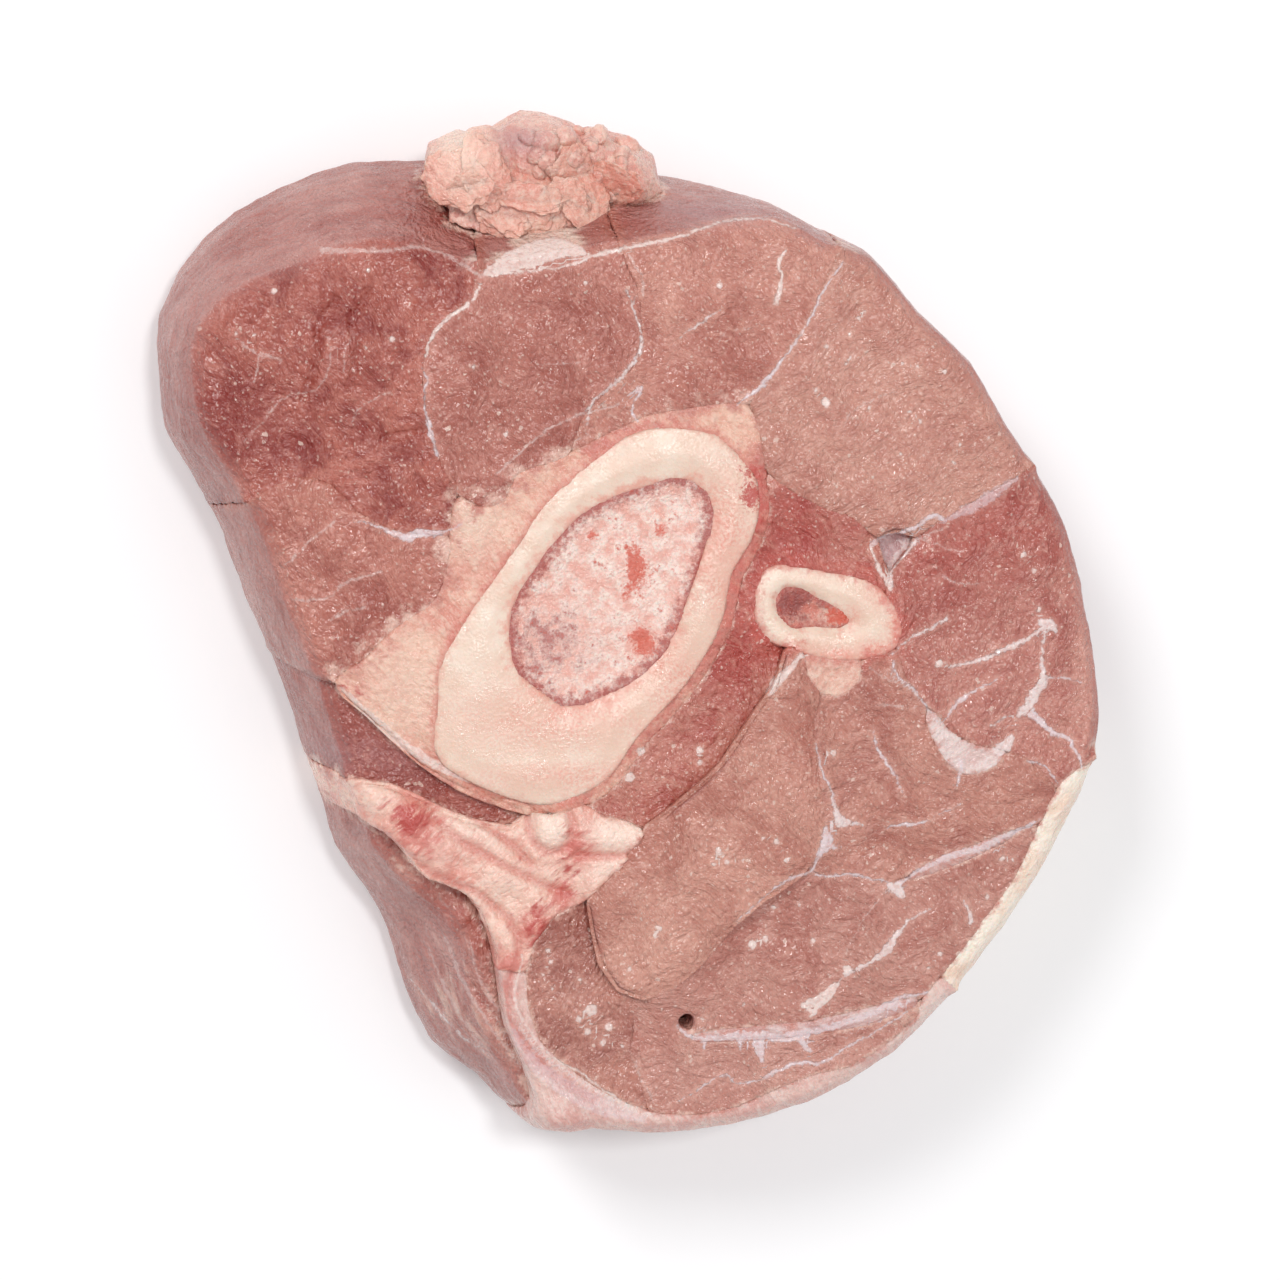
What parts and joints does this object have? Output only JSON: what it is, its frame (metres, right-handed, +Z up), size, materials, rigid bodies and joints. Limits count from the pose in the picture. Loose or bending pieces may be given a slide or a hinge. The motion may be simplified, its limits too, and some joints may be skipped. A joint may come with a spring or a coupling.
{
  "type": "raw beef shank slice",
  "caption": "Thick cross-cut slice of raw beef shank with its round bones and marrow, muscles parted by seams of fat, lying flat.",
  "frame": {"origin": "on the table under the middle of the slice's plan box, at the flat underside", "axes": "+Z up out of the cut face, +Y along the longer side of the slice to the side with the crumbly fat, +X to the side of the small bone"},
  "size_m": [0.1335, 0.1456, 0.0344],
  "materials": {
    "meat": "moist raw muscle, satin",
    "dark_meat": "moist red muscle, satin",
    "pale_meat": "moist pale muscle, satin",
    "bone": "sawn bone, satin",
    "marrow": "granular marrow",
    "fat": "moist pink fat",
    "yellow_fat": "cream fat, satin",
    "fascia": "white sinew sheet, satin"
  },
  "bodies": {
    "root": {"shin_bone": "bone", "shin_marrow": "marrow", "bone_sheath": "fat", "small_bone": "bone", "small_marrow": "dark_meat", "muscle_upper_left": "meat", "muscle_upper_middle": "meat", "muscle_upper_inner": "meat", "muscle_upper_right": "pale_meat", "muscle_right": "dark_meat", "muscle_lower_right": "meat", "muscle_tongue": "pale_meat", "muscle_between_bones": "dark_meat", "muscle_lower": "meat", "muscle_lower_left": "meat", "muscle_left": "meat", "muscle_under_bone": "dark_meat", "side_flap": "meat", "seam_fat": "fat", "rim_fascia": "fascia", "rim_fat": "yellow_fat", "fat_lobe": "fat", "fat_knob": "fat", "right_fat": "fascia", "junction_fascia": "fascia", "middle_sheet": "fascia", "lower_sheet": "fascia"}
  },
  "joints": []
}
